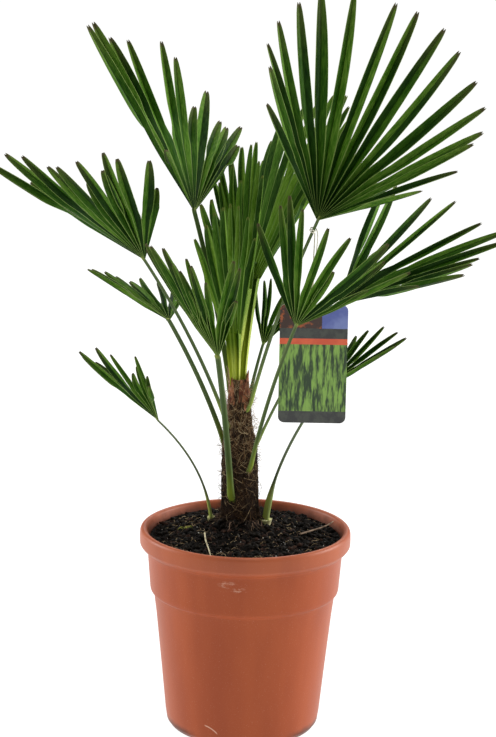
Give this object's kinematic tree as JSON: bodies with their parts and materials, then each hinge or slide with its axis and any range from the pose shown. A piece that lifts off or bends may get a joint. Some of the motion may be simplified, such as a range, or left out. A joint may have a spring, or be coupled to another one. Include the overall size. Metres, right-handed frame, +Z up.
{
  "type": "potted windmill palm",
  "caption": "Young fan palm with a fibrous trunk and stiff pleated leaves, growing in a round terracotta-coloured nursery pot, with a plain hang tag.",
  "frame": {"origin": "middle of the pot's flat underside, on the pot's axis", "axes": "+Z up along the pot's axis, +X to the right and -Y to the front of the pictured view"},
  "size_m": [0.5693, 0.3982, 0.8416],
  "materials": {
    "pot": "satin terracotta-coloured moulded plastic",
    "soil": "moist crumbly potting soil with white grains",
    "trunk": "brown matted fibre and old leaf bases",
    "stalk": "smooth green leaf stalk, slightly waxy",
    "young_stalk": "smooth yellow-green leaf stalk",
    "leaf": "dark green ribbed leaf with a soft sheen",
    "young_leaf": "fresh green ribbed leaf with a soft sheen",
    "tag": "coated card in plain bands of colour",
    "string": "thin pale string"
  },
  "bodies": {
    "root": {"pot": "pot", "soil": "soil", "trunk": "trunk", "stalk_back_left": "stalk", "blade_back_left": "leaf", "stalk_back_right": "stalk", "blade_back_right": "leaf", "stalk_big_right": "stalk", "blade_big_right": "leaf", "stalk_front_left": "stalk", "blade_front_left": "leaf", "stalk_front_right": "stalk", "blade_front_right": "leaf", "stalk_low_left": "stalk", "blade_low_left": "leaf", "stalk_low_right": "stalk", "blade_low_right": "leaf", "stalk_small_back": "stalk", "blade_small_back": "leaf", "stalk_tall_left": "stalk", "blade_tall_left": "leaf", "stalk_wide_left": "stalk", "blade_wide_left": "leaf", "stalk_young_back": "young_stalk", "blade_young_back": "young_leaf", "stalk_young_centre": "young_stalk", "blade_young_centre": "young_leaf", "stalk_young_front": "young_stalk", "blade_young_front": "young_leaf", "stalk_young_right": "young_stalk", "blade_young_right": "young_leaf", "hang_tag": "tag", "tag_string": "string"}
  },
  "joints": []
}
